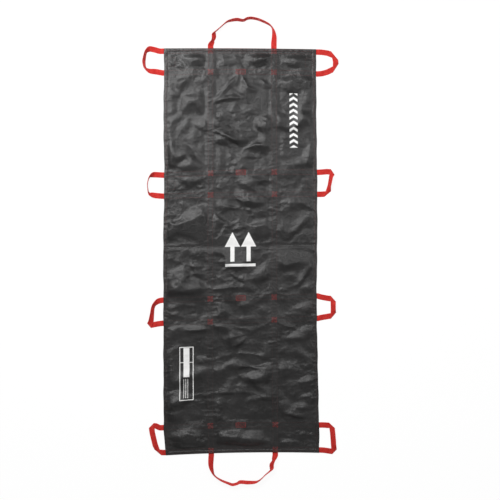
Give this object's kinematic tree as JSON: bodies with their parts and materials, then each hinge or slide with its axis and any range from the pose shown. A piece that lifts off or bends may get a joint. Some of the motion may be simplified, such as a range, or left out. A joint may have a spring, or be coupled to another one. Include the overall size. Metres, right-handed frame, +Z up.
{
  "type": "rescue stretcher",
  "caption": "Soft carry-sheet stretcher: black coated nylon laid flat on sewn red webbing, with webbing loops along both sides as carrying handles and a wide drag loop at each end.",
  "frame": {"origin": "on the floor, under the middle of the outline that the sheet and its handles make", "axes": "+Z up, +Y towards the head end along the sheet, +X towards its right side seen from above"},
  "size_m": [0.8844, 2.1076, 0.0251],
  "materials": {
    "coated_nylon": "satin",
    "patch_nylon": "matte",
    "red_webbing": "matte"
  },
  "bodies": {
    "centre_head": {"sheet_centre_head": "coated_nylon", "long_strap_left_head": "red_webbing", "long_strap_right_head": "red_webbing", "cross_strap_1_centre": "red_webbing", "cross_strap_2_centre": "red_webbing"},
    "left_flap_head": {"sheet_left_head": "coated_nylon", "cross_strap_1_left": "red_webbing", "cross_strap_2_left": "red_webbing", "edge_patch_1_left": "patch_nylon", "edge_patch_2_left": "patch_nylon"},
    "right_flap_head": {"sheet_right_head": "coated_nylon", "cross_strap_1_right": "red_webbing", "cross_strap_2_right": "red_webbing", "edge_patch_1_right": "patch_nylon", "edge_patch_2_right": "patch_nylon"},
    "centre_foot": {"sheet_centre_foot": "coated_nylon", "long_strap_left_foot": "red_webbing", "long_strap_right_foot": "red_webbing", "cross_strap_3_centre": "red_webbing", "cross_strap_4_centre": "red_webbing"},
    "left_flap_foot": {"sheet_left_foot": "coated_nylon", "cross_strap_3_left": "red_webbing", "cross_strap_4_left": "red_webbing", "edge_patch_3_left": "patch_nylon", "edge_patch_4_left": "patch_nylon"},
    "right_flap_foot": {"sheet_right_foot": "coated_nylon", "cross_strap_3_right": "red_webbing", "cross_strap_4_right": "red_webbing", "edge_patch_3_right": "patch_nylon", "edge_patch_4_right": "patch_nylon"},
    "handle_1_left": {"handle_1_left": "red_webbing"},
    "handle_1_right": {"handle_1_right": "red_webbing"},
    "handle_2_left": {"handle_2_left": "red_webbing"},
    "handle_2_right": {"handle_2_right": "red_webbing"},
    "handle_3_left": {"handle_3_left": "red_webbing"},
    "handle_3_right": {"handle_3_right": "red_webbing"},
    "handle_4_left": {"handle_4_left": "red_webbing"},
    "handle_4_right": {"handle_4_right": "red_webbing"},
    "drag_handle_head": {"drag_handle_head": "red_webbing"},
    "drag_handle_foot": {"drag_handle_foot": "red_webbing"}
  },
  "joints": [
    {"name": "mid_fold", "type": "hinge", "parent": "centre_head", "child": "centre_foot", "pos_m": [0, 0.025, 0.004], "axis": [1, 0, 0], "range_deg": [-165, 0]},
    {"name": "left_flap_fold", "type": "hinge", "parent": "centre_head", "child": "left_flap_head", "pos_m": [-0.18, 0.5, 0.0032], "axis": [0, 1, 0], "range_deg": [0, 110]},
    {"name": "left_flap_fold_foot", "type": "hinge", "parent": "centre_foot", "child": "left_flap_foot", "pos_m": [-0.18, -0.45, 0.0032], "axis": [0, 1, 0], "range_deg": [0, 110]},
    {"name": "right_flap_fold", "type": "hinge", "parent": "centre_head", "child": "right_flap_head", "pos_m": [0.18, 0.5, 0.0032], "axis": [0, -1, 0], "range_deg": [0, 110]},
    {"name": "right_flap_fold_foot", "type": "hinge", "parent": "centre_foot", "child": "right_flap_foot", "pos_m": [0.18, -0.45, 0.0032], "axis": [0, -1, 0], "range_deg": [0, 110]},
    {"name": "handle_1_left_lift", "type": "hinge", "parent": "left_flap_head", "child": "handle_1_left", "pos_m": [-0.343, 0.853, 0.0032], "axis": [0, 1, 0], "range_deg": [0, 150]},
    {"name": "handle_1_right_lift", "type": "hinge", "parent": "right_flap_head", "child": "handle_1_right", "pos_m": [0.343, 0.853, 0.0032], "axis": [0, -1, 0], "range_deg": [0, 150]},
    {"name": "handle_2_left_lift", "type": "hinge", "parent": "left_flap_head", "child": "handle_2_left", "pos_m": [-0.343, 0.304, 0.0032], "axis": [0, 1, 0], "range_deg": [0, 150]},
    {"name": "handle_2_right_lift", "type": "hinge", "parent": "right_flap_head", "child": "handle_2_right", "pos_m": [0.343, 0.304, 0.0032], "axis": [0, -1, 0], "range_deg": [0, 150]},
    {"name": "handle_3_left_lift", "type": "hinge", "parent": "left_flap_foot", "child": "handle_3_left", "pos_m": [-0.343, -0.258, 0.0032], "axis": [0, 1, 0], "range_deg": [0, 150]},
    {"name": "handle_3_right_lift", "type": "hinge", "parent": "right_flap_foot", "child": "handle_3_right", "pos_m": [0.343, -0.258, 0.0032], "axis": [0, -1, 0], "range_deg": [0, 150]},
    {"name": "handle_4_left_lift", "type": "hinge", "parent": "left_flap_foot", "child": "handle_4_left", "pos_m": [-0.343, -0.846, 0.0032], "axis": [0, 1, 0], "range_deg": [0, 150]},
    {"name": "handle_4_right_lift", "type": "hinge", "parent": "right_flap_foot", "child": "handle_4_right", "pos_m": [0.343, -0.846, 0.0032], "axis": [0, -1, 0], "range_deg": [0, 150]},
    {"name": "drag_handle_head_lift", "type": "hinge", "parent": "centre_head", "child": "drag_handle_head", "pos_m": [0.008, 0.9145, 0.0048], "axis": [1, 0, 0], "range_deg": [0, 150]},
    {"name": "drag_handle_foot_lift", "type": "hinge", "parent": "centre_foot", "child": "drag_handle_foot", "pos_m": [0.008, -0.9145, 0.0048], "axis": [-1, 0, 0], "range_deg": [0, 150]}
  ],
  "couplings": [
    {"joint": "left_flap_fold_foot", "follows": "left_flap_fold", "ratio": 1},
    {"joint": "right_flap_fold_foot", "follows": "right_flap_fold", "ratio": 1}
  ]
}
